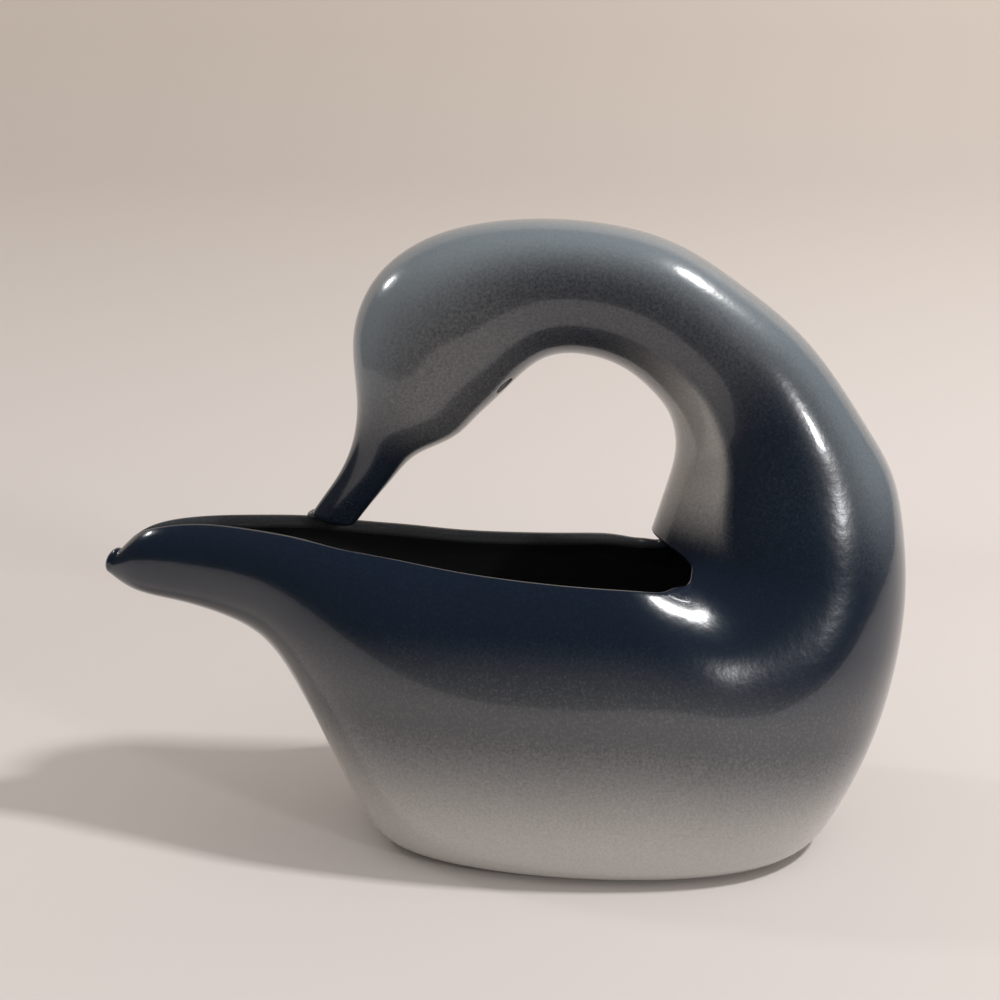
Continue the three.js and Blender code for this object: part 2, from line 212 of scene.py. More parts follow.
class FormProperties(bpy.types.PropertyGroup):
    """Fineness of the castings and sizes of what is added to them."""

    bowl_facets: IntProperty(name="Bowl facets", description="Facets round a rib of the bowl",
                             default=192, min=24)
    neck_facets: IntProperty(name="Neck facets", description="Facets round a rib of the neck",
                             default=112, min=16)
    lip_facets: IntProperty(name="Lip facets", description="Facets across the rim's round edge",
                            default=10, min=4)
    foot_length: FloatProperty(name="Foot length", description="Length of the foot ring",
                               default=0.118, unit="LENGTH")
    foot_width: FloatProperty(name="Foot width", description="Width of the foot ring",
                              default=0.064, unit="LENGTH")
    foot_band: FloatProperty(name="Foot band", description="Width of the foot ring's band",
                             default=0.005, unit="LENGTH")
    foot_centre: FloatProperty(name="Foot centre", description="Place of the foot ring along X",
                               default=0.02954, unit="LENGTH")


class GlazeProperties(bpy.types.PropertyGroup):
    """Colours of the sprayed glazes and of the bare clay."""

    pale: FloatVectorProperty(name="Pale glaze", description="Warm pale grey of the belly",
                              subtype="COLOR", size=3, default=(0.43, 0.41, 0.39))
    grey: FloatVectorProperty(name="Grey glaze", description="Speckled grey of the flanks and head",
                              subtype="COLOR", size=3, default=(0.052, 0.055, 0.062))
    # Blue-grey glaze of the nape; on the crown the same colour paints a reflection of a pale
    # ceiling.
    blue: FloatVectorProperty(name="Blue-grey glaze", description="Blue-grey of the crown and nape",
                              subtype="COLOR", size=3, default=(0.175, 0.205, 0.228))
    navy: FloatVectorProperty(name="Navy glaze", description="Navy of the rim, shoulder and beak",
                              subtype="COLOR", size=3, default=(0.004, 0.010, 0.022))
    inside: FloatVectorProperty(name="Inner glaze", description="Near-black glaze of the inside",
                                subtype="COLOR", size=3, default=(0.020, 0.021, 0.022))
    clay: FloatVectorProperty(name="Bare clay", description="Unglazed clay of the foot ring",
                              subtype="COLOR", size=3, default=(0.55, 0.50, 0.43))


def rib_parameters():
    """Distance along the form of each rib: the mean of what its two end points travel."""
    inner = np.linalg.norm(np.diff(RIBS[:, 0:2], axis=0), axis=1)
    outer = np.linalg.norm(np.diff(RIBS[:, 2:4], axis=0), axis=1)
    return np.concatenate([[0.0], np.cumsum((inner + outer) / 2)])


PARAMETER = rib_parameters()


def spline_curvature(values):
    """Second derivatives of a natural cubic spline through one column of the ribs."""
    n = len(values)
    matrix = np.eye(n)
    right = np.zeros(n)
    for i in range(1, n - 1):
        before = PARAMETER[i] - PARAMETER[i - 1]
        after = PARAMETER[i + 1] - PARAMETER[i]
        matrix[i, i - 1:i + 2] = before, 2 * (before + after), after
        right[i] = 6 * ((values[i + 1] - values[i]) / after - (values[i] - values[i - 1]) / before)
    return np.linalg.solve(matrix, right)


CURVATURE = np.stack([spline_curvature(column) for column in RIBS.T], axis=1)
SEAM = PARAMETER[SEAM_RIB]
BEAK = PARAMETER[-1]


def parameter_at(rib):
    """Distance along the form of a rib number, which may be a fraction."""
    return float(np.interp(rib, np.arange(len(RIBS)), PARAMETER))


OPENING_FROM, OPENING_TO = (parameter_at(rib) for rib in OPENING_RIBS)


def rib_at(t):
    """All columns of the rib at distance t along the form."""
    i = int(np.clip(np.searchsorted(PARAMETER, t) - 1, 0, len(RIBS) - 2))
    h = PARAMETER[i + 1] - PARAMETER[i]
    b = (t - PARAMETER[i]) / h
    a = 1 - b
    bend = (a ** 3 - a) * CURVATURE[i] + (b ** 3 - b) * CURVATURE[i + 1]
    return a * RIBS[i] + b * RIBS[i + 1] + bend * h * h / 6


def smooth_step(x):
    c = np.clip(x, 0.0, 1.0)
    return c * c * (3 - 2 * c)


def fade(value, start_and_reach):
    """Rises smoothly from 0 at the start to 1 a reach further on."""
    start, reach = start_and_reach
    return smooth_step((value - start) / reach)


def head_turn(points, t):
    """Turns points at distance t by the neck's share of the head's turn."""
    angle = HEAD_TURN * smooth_step(TURN_RATE * (t - SEAM) / (BEAK - SEAM))
    x = points[:, 0] - TURN_AXIS_X
    y = points[:, 1].copy()
    points[:, 0] = TURN_AXIS_X + x * math.cos(angle) + y * math.sin(angle)
    points[:, 1] = -x * math.sin(angle) + y * math.cos(angle)
    return points


def flatten(z, floor):
    """Heights after the belly is rounded into a flat underside."""
    above = z - floor
    rounded = floor + (above + BASE_ROUND) ** 2 / (4 * BASE_ROUND)
    return np.where(above > BASE_ROUND, z, np.where(above < -BASE_ROUND, floor, rounded))


def inset(size, wall):
    """A half size less its wall, which is thinner where there is no room for it."""
    return size - min(wall, MOST_WALL * size)


def rib_points(t, phi, wall=0.0, floor=FOOT_HEIGHT):
    """Points of the rib at distance t; phi is 0 on the inner line and pi on the outer."""
    ax, az, bx, bz, half_width, widest, round_up, round_down, _ = rib_at(t)
    length = math.hypot(ax - bx, az - bz)
    ux, uz = (ax - bx) / length, (az - bz) / length
    centre_x = ax - ux * widest * length
    centre_z = az - uz * widest * length
    c, s = np.cos(phi), np.sin(phi)
    power = 2 / np.where(c >= 0, round_up, round_down)
    up, down = inset(widest * length, wall), inset((1 - widest) * length, wall)
    along = np.where(c >= 0, up, down) * np.sign(c) * np.abs(c) ** power
    across = inset(half_width, wall) * np.sign(s) * np.abs(s) ** power
    z = centre_z + uz * along
    if t <= SEAM:
        z = flatten(z, floor)
    return head_turn(np.stack([centre_x + ux * along, across, z], axis=1), t)


def forward(t):
    """Direction in which the form runs on at distance t, square to the rib there."""
    ax, az, bx, bz = rib_at(t)[:4]
    length = math.hypot(ax - bx, az - bz)
    # Measured from the axis of the head's turn, so that the turn acts on it as on a place.
    normal = np.array([[TURN_AXIS_X + (az - bz) / length, 0.0, -(ax - bx) / length]])
    return head_turn(normal, t)[0] - np.array([TURN_AXIS_X, 0.0, 0.0])


def opening_angle(t):
    """Half the angle that the bowl's opening takes out of the rib at distance t."""
    rib = rib_at(t)
    near_tail = t < (OPENING_FROM + OPENING_TO) / 2
    radius = OPENING_TAIL_ROUND if near_tail else OPENING_NECK_ROUND
    from_end = min(radius, t - OPENING_FROM if near_tail else OPENING_TO - t)
    ends = math.sqrt(max(0.0, 1 - (1 - max(0.0, from_end) / radius) ** 2))
    share = min(MOST_OPEN, max(0.0, rib[HALF_OPENING] * ends / rib[HALF_WIDTH]))
    return math.asin(share ** (rib[ROUND_UP] / 2))


def vent_angle(t):
    """Half the angle that the vent takes out of the rib at distance t."""
    reach = (t - parameter_at(VENT_RIB)) / (VENT_LENGTH / 2)
    return VENT_WIDTH / 2 * math.sqrt(max(0.0, 1 - reach * reach)) / rib_at(t)[HALF_WIDTH]


def spread(start, end, count, clustered=False):
    """Places from start to end, evenly or closer together towards both."""
    share = np.linspace(0, 1, count + 1)
    if clustered:
        share = (1 - np.cos(math.pi * share)) / 2
    return list(start + (end - start) * share)


class MeshMaker:
    """Collects points, faces, each point's place on the form and which faces are flat."""

    def __init__(self):
        self.points = []
        self.faces = []
        self.place = []
        self.flat = set()

    def add(self, rows, t, phi, inner):
        """Adds points and returns their numbers; inner is 0 on the outer skin, 1 on the inner."""
        first = len(self.points)
        self.points.extend(map(tuple, rows))
        self.place.extend((t, float(angle), inner) for angle in phi)
        return list(range(first, first + len(rows)))

    def strip(self, first, second, flip=False, flat=False):
        """Joins two rows of points with quads, or triangles where the rows share a point."""
        if flat:
            self.flat.update(range(len(self.faces), len(self.faces) + len(first) - 1))
        for j in range(len(first) - 1):
            quad = [first[j], first[j + 1], second[j + 1], second[j]]
            if not flip:
                quad.reverse()
            if len(set(quad)) > 2:
                self.faces.append(list(dict.fromkeys(quad)))

    def close_end(self, ring, t, depth, sense, flip, inner):
        """Closes a ring with a dome of that depth, or with a flat face where it is 0.

        sense is 1 where the dome points along the form and -1 where it points back.
        """
        points = np.array([self.points[i] for i in ring])
        centre = points[:-1].mean(axis=0)
        direction = forward(t) * sense * depth
        count = END_STEPS if depth > 0 else 1
        last = ring
        phi = [self.place[i][1] for i in ring]
        for k in range(1, count):
            angle = math.pi / 2 * k / count
            rows = centre + (points - centre) * math.cos(angle) + direction * math.sin(angle)
            following = self.add(rows[:-1], t, phi[:-1], inner)
            following.append(following[0])
            self.strip(last, following, flip)
            last = following
        tip = self.add([centre + direction], t, [0.0], inner)[0]
        if depth == 0:
            self.flat.update(range(len(self.faces), len(self.faces) + len(last) - 1))
        for j in range(len(last) - 1):
            face = [last[j], last[j + 1], tip]
            if not flip:
                face.reverse()
            self.faces.append(face)


def make_shell(spec):
    """An outer skin, an inner skin and an opening whose lip joins them.

    The spec says where each skin starts and ends, how many steps lie before, in and after the
    opening, the half angle that the opening takes out of a rib, and its turn round the form.
    With flat_from the start is cut level at flat_height, and an annulus joins the skins there.
    """
    maker = MeshMaker()
    facets = spec["facets"]
    open_from, open_to = spec["open"]
    open_stations = spread(open_from, open_to, spec["open_steps"], True)

    def stations(start, end, before, after):
        lead = spread(start, open_from, before)[:-1] if before else []
        tail = spread(open_to, end, after)[1:] if after else []
        return lead + open_stations + tail

    def ring(t, wall, floor, inner):
        half = spec["angle"](t) if open_from < t < open_to else 0.0
        phi = spec["turn"] + half + (2 * math.pi - 2 * half) * np.linspace(0, 1, facets + 1)
        rows = rib_points(t, phi, wall, floor)
        if spec.get("flat_from") == t:
            rows[:, 2] = spec["flat_height"]
        if half > 0:
            return maker.add(rows, t, phi, inner)
        indices = maker.add(rows[:-1], t, phi[:-1], inner)
        return indices + [indices[0]]

    outer = [ring(t, SKIN_INSET, spec["floor"], 0)
             for t in stations(spec["start"], spec["end"], spec["before"], spec["after"])]
    inner = [ring(t, spec["wall"], spec["inner_floor"], 1)
             for t in stations(spec["inner_start"], spec["inner_end"],
                               spec["inner_before"], spec["inner_after"])]
    for first, second in zip(outer, outer[1:]):
        maker.strip(first, second)
    for first, second in zip(inner, inner[1:]):
        maker.strip(first, second, flip=True)
    if "flat_from" in spec:
        maker.strip(inner[0], outer[0], flat=True)
    else:
        maker.close_end(outer[0], spec["start"], TAIL_ROUND, sense=-1, flip=True, inner=0)
        maker.close_end(inner[0], spec["inner_start"], 0, sense=-1, flip=False, inner=1)
    maker.close_end(outer[-1], spec["end"], spec["round_end"], sense=1, flip=False, inner=0)
    maker.close_end(inner[-1], spec["inner_end"], spec["inner_round"],
                    sense=1, flip=True, inner=1)

    count = len(open_stations)

    def edge(rings, skip):
        there = [rings[skip + i][0] for i in range(count)]
        back = [rings[skip + i][facets] for i in range(count - 1, -1, -1)]
        return there + back[1:-1]

    add_lip(maker, edge(outer, spec["before"]), edge(inner, spec["inner_before"]), spec["lip"])
    return maker


def add_lip(maker, outer_edge, inner_edge, facets):
    """Joins the edges of the two skins round an opening with a lip that swells into it."""
    outer = np.array([maker.points[i] for i in outer_edge])
    inner = np.array([maker.points[i] for i in inner_edge])
    tangent = np.roll(outer, -1, axis=0) - np.roll(outer, 1, axis=0)
    across = inner - outer
    middle = (outer + inner) / 2
    bulge = np.cross(across, tangent)
    bulge /= np.linalg.norm(bulge, axis=1, keepdims=True)
    bulge *= LIP_BULGE * np.linalg.norm(across, axis=1, keepdims=True) / 2
    shares = np.arange(1, facets) / facets
    lips = []
    for k, start in enumerate(outer_edge):
        rows = [middle[k] - across[k] * math.cos(a) / 2 + bulge[k] * math.sin(a)
                for a in math.pi * shares]
        t, phi, _ = maker.place[start]
        first = len(maker.points)
        maker.points.extend(map(tuple, rows))
        maker.place.extend((t, phi, share) for share in shares)
        lips.append([start, *range(first, first + len(rows)), inner_edge[k]])
    for k, lip in enumerate(lips):
        maker.strip(lip, lips[(k + 1) % len(lips)], flip=True)


def spray_masks(place, points):
    """How far each glaze, and the crown's painted reflection, covers each point; pale is the ground
    and covers them all.
    """
    t, phi, inner = place.T
    rib = np.interp(t, PARAMETER, np.arange(len(RIBS)))
    outward = (1 - np.cos(phi)) / 2
    on_bowl = 1 - fade(rib, BOWL_ENDS)
    neck = fade(rib, NECK_BEGINS)
    arch = fade(rib, ARCH_BEGINS)
    head = fade(rib, HEAD_BEGINS)
    beak = fade(rib, BEAK_BEGINS)
    nape = fade(outward, NAPE_SIDE)
    throat = (1 - fade(outward, THROAT_SIDE)) * neck * (1 - fade(rib, THROAT_ENDS))

    shoulder = SHOULDER_HEIGHT + SHOULDER_TAIL_RISE * (1 - fade(rib, TAIL_ENDS))
    shoulder = shoulder - SHOULDER_CHEST_DROP * fade(rib, CHEST_BEGINS)
    below = points[:, 2] - shoulder
    pale_rim = fade(inner, LIP_SIDE) * (1 - fade(rib, PALE_RIM_ENDS))
    grey_bowl = fade(below, (-GREY_DEPTH, GREY_REACH))
    navy_bowl = fade(below, (-NAVY_DEPTH, NAVY_REACH)) * (1 - RIM_THINNING * pale_rim)

    flank = (1 - throat) * (1 - NAPE_THINNING * nape) * (1 - arch)
    arch_navy = fade(rib, ARCH_NAVY_BEGINS) * (1 - head) * (1 - nape) * (1 - throat)
    grey = on_bowl * grey_bowl + (1 - on_bowl) * (NECK_GREY - THROAT_THINNING * throat)
    navy = on_bowl * navy_bowl + (1 - on_bowl) * FLANK_NAVY * flank
    navy = np.maximum.reduce([navy, BEAK_NAVY * beak, ARCH_NAVY * arch_navy])
    # Painted reflection: the top of the head is painted lighter blue-grey, as a pale ceiling
    # mirrored there.
    crown = head * fade(outward, CROWN_REFLECTION_SIDE)
    blue = np.maximum(NAPE_BLUE * neck * nape, CROWN_REFLECTION_BLUE * crown) * (1 - beak)
    return {"grey_spray": grey, "blue_spray_and_crown_reflection": blue, "navy_spray": np.clip(navy, 0, 1),
            "inner_glaze": inner}


def form_normals(t, phi):
    """Normals of the form itself, by small steps along and round it."""
    step = 0.01
    along = rib_points(t + step, phi) - rib_points(t - step, phi)
    around = rib_points(t, phi + step) - rib_points(t, phi - step)
    normals = np.cross(around, along)
    points = rib_points(t, phi)
    outward = np.sum(normals * (points - points.mean(axis=0)), axis=1, keepdims=True)
    return normals * np.sign(outward) / np.linalg.norm(normals, axis=1, keepdims=True)


def store_masks(mesh, masks):
    """Stores how far each glaze covers the points; a single number covers them all alike."""
    for label, values in masks.items():
        layer = mesh.attributes.new(label, "FLOAT", "POINT")
        layer.data.foreach_set("value", np.full(len(mesh.vertices), values, dtype=np.float32))


def finish_mesh(name, maker, material):
    """The maker's shell as an object, with the form's own normals where the castings meet."""
    points = np.array(maker.points)
    place = np.array(maker.place)
    mesh = bpy.data.meshes.new(name)
    placed = (points + np.array([MIDDLE_SHIFT, 0, 0])) * MM
    mesh.from_pydata([tuple(p) for p in placed], [], maker.faces)
    store_masks(mesh, spray_masks(place, points))
    mesh.polygons.foreach_set("use_smooth", [i not in maker.flat for i in range(len(maker.faces))])
    mesh.materials.append(material)
    mesh.update()
    normals = np.zeros_like(points)
    at_seam = np.isclose(place[:, 0], SEAM) & (place[:, 2] == 0)
    normals[at_seam] = form_normals(SEAM, place[at_seam, 1])
    mesh.normals_split_custom_set_from_vertices([tuple(n) for n in normals])
    piece = bpy.data.objects.new(name, mesh)
    bpy.context.scene.collection.objects.link(piece)
    return piece


def new_material(name):
    """A material with its nodes, its links and its Principled BSDF."""
    material = bpy.data.materials.new(name)
    material.use_nodes = True
    nodes = material.node_tree.nodes
    return material, nodes, material.node_tree.links, nodes["Principled BSDF"]


def spray_group():
    """Breaks the edge of a sprayed glaze into the fine grains that a spray gun leaves."""
    if "Spray grain" in bpy.data.node_groups:
        return bpy.data.node_groups["Spray grain"]
    group = bpy.data.node_groups.new("Spray grain", "ShaderNodeTree")
    for label in ("Coverage", "Grain scale", "Grain amount"):
        group.interface.new_socket(label, in_out="INPUT", socket_type="NodeSocketFloat")
    group.interface.new_socket("Mask", in_out="OUTPUT", socket_type="NodeSocketFloat")
    nodes, links = group.nodes, group.links
    entry, leave = nodes.new("NodeGroupInput"), nodes.new("NodeGroupOutput")
    place = nodes.new("ShaderNodeTexCoord")
    noise = nodes.new("ShaderNodeTexNoise")
    noise.inputs["Detail"].default_value = 3.0
    noise.inputs["Roughness"].default_value = 0.7
    links.new(place.outputs["Object"], noise.inputs["Vector"])
    links.new(entry.outputs["Grain scale"], noise.inputs["Scale"])
    centred = nodes.new("ShaderNodeMath")
    centred.operation = "SUBTRACT"
    centred.inputs[1].default_value = 0.5
    links.new(noise.outputs["Fac"], centred.inputs[0])
    grain = nodes.new("ShaderNodeMath")
    grain.operation = "MULTIPLY_ADD"
    links.new(centred.outputs[0], grain.inputs[0])
    links.new(entry.outputs["Grain amount"], grain.inputs[1])
    links.new(entry.outputs["Coverage"], grain.inputs[2])
    limit = nodes.new("ShaderNodeClamp")
    links.new(grain.outputs[0], limit.inputs["Value"])
    links.new(limit.outputs[0], leave.inputs["Mask"])
    return group


def glaze_material(name, colours):
    """Glossy glaze: the pale ground with each sprayed colour over it in turn."""
    material, nodes, links, shader = new_material(name)

    def sprayed(attribute):
        scale, amount = GRAINS[attribute]
        source = nodes.new("ShaderNodeAttribute")
        source.attribute_name = attribute
        grain = nodes.new("ShaderNodeGroup")
        grain.node_tree = spray_group()
        grain.inputs["Grain scale"].default_value = scale
        grain.inputs["Grain amount"].default_value = amount
        links.new(source.outputs["Fac"], grain.inputs["Coverage"])
        return grain.outputs["Mask"]

    below = None
    # The blue-grey layer also holds the crown's painted reflection of a pale ceiling.
    for attribute, colour in (("grey_spray", colours.grey), ("blue_spray_and_crown_reflection", colours.blue),
                              ("navy_spray", colours.navy), ("inner_glaze", colours.inside)):
        mix = nodes.new("ShaderNodeMix")
        mix.data_type = "RGBA"
        links.new(sprayed(attribute), mix.inputs["Factor"])
        if below is None:
            mix.inputs["A"].default_value = (*colours.pale, 1.0)
        else:
            links.new(below, mix.inputs["A"])
        mix.inputs["B"].default_value = (*colour, 1.0)
        below = mix.outputs["Result"]
    links.new(below, shader.inputs["Base Color"])
    shader.inputs["Roughness"].default_value = 0.22
    shader.inputs["Coat Weight"].default_value = 0.6
    shader.inputs["Coat Roughness"].default_value = 0.06
    ripple = object_noise(nodes, links, scale=420.0, detail=2.0)
    roughen(nodes, links, shader, ripple, strength=0.12, distance=0.0004)
    return material


def object_noise(nodes, links, scale, detail):
    """Noise in the object's own coordinates."""
    place = nodes.new("ShaderNodeTexCoord")
    noise = nodes.new("ShaderNodeTexNoise")
    noise.inputs["Scale"].default_value = scale
    noise.inputs["Detail"].default_value = detail
    links.new(place.outputs["Object"], noise.inputs["Vector"])
    return noise.outputs["Fac"]


def roughen(nodes, links, shader, height, strength, distance):
    """Gives the shader a bump of that strength and distance."""
    bump = nodes.new("ShaderNodeBump")
    bump.inputs["Strength"].default_value = strength
    bump.inputs["Distance"].default_value = distance
    links.new(height, bump.inputs["Height"])
    links.new(bump.outputs["Normal"], shader.inputs["Normal"])


def clay_material(colours):
    """Matt, slightly mottled clay."""
    material, nodes, links, shader = new_material("bare clay")
    mottle = object_noise(nodes, links, scale=700.0, detail=5.0)
    tint = nodes.new("ShaderNodeMix")
    tint.data_type = "RGBA"
    tint.inputs["A"].default_value = (*[DARK_CLAY * c for c in colours.clay], 1.0)
    tint.inputs["B"].default_value = (*colours.clay, 1.0)
    links.new(mottle, tint.inputs["Factor"])
    links.new(tint.outputs["Result"], shader.inputs["Base Color"])
    shader.inputs["Roughness"].default_value = 0.85
    roughen(nodes, links, shader, mottle, strength=0.4, distance=0.0003)
    return material


class SWAN_OT_bowl(bpy.types.Operator):
    """Make the bowl's casting, with its tail, rim and floor"""

    bl_idname = "swan.bowl"
    bl_label = "Bowl"

    def execute(self, context):
        form, colours = context.scene.swan_form, context.scene.swan_glaze
        maker = make_shell({
            "start": 0.0, "end": SEAM, "before": 6, "after": 16, "facets": form.bowl_facets,
            "inner_start": OPENING_FROM, "inner_end": OPENING_TO,
            "inner_before": 0, "inner_after": 0,
            "open": (OPENING_FROM, OPENING_TO), "open_steps": 150, "angle": opening_angle,
            "turn": 0.0, "wall": BOWL_WALL, "floor": FOOT_HEIGHT,
            "inner_floor": FOOT_HEIGHT + FLOOR_WALL, "round_end": 0, "inner_round": 0,
            "lip": form.lip_facets,
        })
        piece = finish_mesh("bowl_casting", maker, glaze_material("bowl glaze", colours))
        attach(piece, "root")
        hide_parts("bowl_body")
        return {"FINISHED"}


class SWAN_OT_neck(bpy.types.Operator):
    """Make the hollow neck and head, with the vent in the throat"""

    bl_idname = "swan.neck"
    bl_label = "Neck and head"

    def execute(self, context):
        form, colours = context.scene.swan_form, context.scene.swan_glaze
        middle = parameter_at(VENT_RIB)
        maker = make_shell({
            "start": SEAM, "end": BEAK, "before": 110, "after": 110, "facets": form.neck_facets,
            "inner_start": SEAM, "inner_end": parameter_at(CAVITY_RIB),
            "inner_before": 110, "inner_after": 24,
            "open": (middle - VENT_LENGTH / 2, middle + VENT_LENGTH / 2), "open_steps": 24,
            "angle": vent_angle, "turn": VENT_TURN, "wall": NECK_WALL, "floor": 0.0,
            "inner_floor": 0.0, "round_end": BEAK_ROUND, "inner_round": HOLLOW_ROUND,
            "flat_from": SEAM, "flat_height": RIBS[SEAM_RIB][INNER_HEIGHT],
            "lip": form.lip_facets,
        })
        piece = finish_mesh("neck_casting", maker, glaze_material("neck glaze", colours))
        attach(piece, "root")
        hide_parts("neck_and_head", "neck_joint_slip")
        return {"FINISHED"}


def ring_tree():
    """Geometry Nodes: an ellipse swept by a band with softened edges."""
    tree = bpy.data.node_groups.new("Foot ring", "GeometryNodeTree")
    tree.interface.new_socket("Geometry", in_out="OUTPUT", socket_type="NodeSocketGeometry")
    for label in ("Length", "Width", "Band", "Height", "Centre"):
        tree.interface.new_socket(label, in_out="INPUT", socket_type="NodeSocketFloat")
    tree.interface.new_socket("Material", in_out="INPUT", socket_type="NodeSocketMaterial")
    nodes, links = tree.nodes, tree.links
    entry, leave = nodes.new("NodeGroupInput"), nodes.new("NodeGroupOutput")

    def maths(operation, a, b):
        node = nodes.new("ShaderNodeMath")
        node.operation = operation
        for socket, value in zip(node.inputs, (a, b)):
            if isinstance(value, float):
                socket.default_value = value
            else:
                links.new(value, socket)
        return node.outputs[0]

    circle = nodes.new("GeometryNodeCurvePrimitiveCircle")
    circle.inputs["Resolution"].default_value = RING_STEPS
    circle.inputs["Radius"].default_value = 1.0
    shape = nodes.new("GeometryNodeTransform")
    scale = nodes.new("ShaderNodeCombineXYZ")
    for axis, label in (("X", "Length"), ("Y", "Width")):
        outer = maths("MULTIPLY", entry.outputs[label], 0.5)
        half_band = maths("MULTIPLY", entry.outputs["Band"], 0.5)
        links.new(maths("SUBTRACT", outer, half_band), scale.inputs[axis])
    scale.inputs["Z"].default_value = 1.0
    links.new(circle.outputs["Curve"], shape.inputs["Geometry"])
    links.new(scale.outputs[0], shape.inputs["Scale"])
    move = nodes.new("ShaderNodeCombineXYZ")
    links.new(entry.outputs["Centre"], move.inputs["X"])
    links.new(maths("MULTIPLY", entry.outputs["Height"], 0.5), move.inputs["Z"])
    links.new(move.outputs[0], shape.inputs["Translation"])
    profile = nodes.new("GeometryNodeCurvePrimitiveQuadrilateral")
    links.new(entry.outputs["Band"], profile.inputs["Width"])
    links.new(entry.outputs["Height"], profile.inputs["Height"])
    soften = nodes.new("GeometryNodeFilletCurve")
    soften.mode = "POLY"
    soften.inputs["Count"].default_value = EDGE_STEPS
    soften.inputs["Radius"].default_value = EDGE_RADIUS
    links.new(profile.outputs["Curve"], soften.inputs["Curve"])
    sweep = nodes.new("GeometryNodeCurveToMesh")
    links.new(shape.outputs["Geometry"], sweep.inputs["Curve"])
    links.new(soften.outputs["Curve"], sweep.inputs["Profile Curve"])
    paint = nodes.new("GeometryNodeSetMaterial")
    links.new(sweep.outputs["Mesh"], paint.inputs["Geometry"])
    links.new(entry.outputs["Material"], paint.inputs["Material"])
    links.new(paint.outputs["Geometry"], leave.inputs["Geometry"])
    return tree


class SWAN_OT_foot(bpy.types.Operator):
    """Make the unglazed foot ring"""

    bl_idname = "swan.foot"
    bl_label = "Foot ring"

    def execute(self, context):
        form = context.scene.swan_form
        clay = clay_material(context.scene.swan_glaze)
        holder = bpy.data.objects.new("foot_ring_maker", bpy.data.meshes.new("foot_ring_maker"))
        context.scene.collection.objects.link(holder)
        modifier = holder.modifiers.new("Foot ring", "NODES")
        tree = ring_tree()
        modifier.node_group = tree
        values = {"Length": form.foot_length, "Width": form.foot_width, "Band": form.foot_band,
                  "Height": (FOOT_HEIGHT + FOOT_ROOT) * MM, "Centre": form.foot_centre,
                  "Material": clay}
        for item in tree.interface.items_tree:
            if item.in_out == "INPUT":
                modifier[item.identifier] = values[item.name]
        depsgraph = context.evaluated_depsgraph_get()
        mesh = bpy.data.meshes.new_from_object(holder.evaluated_get(depsgraph))
        bpy.data.objects.remove(holder)
        if not mesh.polygons:
            raise RuntimeError("the foot ring came out empty")
        mesh.name = "foot_ring"
        tidy = bmesh.new()
        tidy.from_mesh(mesh)
        bmesh.ops.remove_doubles(tidy, verts=tidy.verts, dist=MERGE_DISTANCE)
        bmesh.ops.recalc_face_normals(tidy, faces=tidy.faces)
        tidy.to_mesh(mesh)
        tidy.free()
        piece = bpy.data.objects.new("foot_ring", mesh)
        context.scene.collection.objects.link(piece)
        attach(piece, "root")
        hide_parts("bowl_body")
        return {"FINISHED"}


class SWAN_OT_glaze_drop(bpy.types.Operator):
    """Make the glaze that ran together where the beak meets the rim"""

    bl_idname = "swan.glaze_drop"
    bl_label = "Glaze drop"

    def execute(self, context):
        low, high = (Vector(corner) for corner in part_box("beak_glaze_drop"))
        middle = (low + high) / 2
        shape = bmesh.new()
        bmesh.ops.create_icosphere(shape, subdivisions=4, radius=1.0)
        size = (high - low) / 2
        for vert in shape.verts:
            lean = DROP_LEAN * vert.co.z
            vert.co = Vector((middle.x + size.x * (vert.co.x + lean),
                              middle.y + size.y * vert.co.y,
                              middle.z + size.z * vert.co.z))
        mesh = bpy.data.meshes.new("beak_glaze")
        shape.to_mesh(mesh)
        shape.free()
        mesh.polygons.foreach_set("use_smooth", [True] * len(mesh.polygons))
        store_masks(mesh, POOLED_GLAZE)
        mesh.materials.append(glaze_material("pooled glaze", context.scene.swan_glaze))
        piece = bpy.data.objects.new("beak_glaze", mesh)
        context.scene.collection.objects.link(piece)
        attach(piece, "root")
        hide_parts("beak_glaze_drop")
        return {"FINISHED"}


# Camera of the photograph: place in metres, tilt from straight down, lens and sensor width in
# millimetres.
CAMERA_PLACE = (-0.0009, -0.300, 0.160)
CAMERA_TILT = math.radians(90 - 11.4)
CAMERA_LENS = 37.44
SENSOR = 36.0

# Floor and backdrop in metres: where they begin and end, the bend between them, their width,
# and the height at which the wall's colour is full.
SWEEP_FRONT = -0.42
SWEEP_BACK = 0.55
SWEEP_TOP = 1.4
SWEEP_BEND = 0.25
SWEEP_WIDTH = 2.4
BEND_STEPS = 24
FLOOR_COLOUR = (0.58, 0.54, 0.52, 1.0)
WALL_COLOUR = (0.50, 0.44, 0.39, 1.0)
WALL_COLOUR_HEIGHT = 0.35

# The room lights softly from all round and is dark in reflections. Lamps aim at one place.
ROOM_COLOUR = (0.9, 0.86, 0.82, 1.0)
ROOM_LIGHT = 0.72
ROOM_REFLECTION = 0.05
LAMP_TARGET = Vector((0.0, 0.0, 0.08))
LAMPS = (
    # name, place and size in metres, watts
    ("overhead lamp", (0.75, -0.15, 1.15), 0.10, 12.0),
    ("side lamp", (1.05, -0.95, 0.50), 0.12, 4.0),
    ("left lamp", (-0.95, 0.25, 0.85), 0.10, 2.0),
)


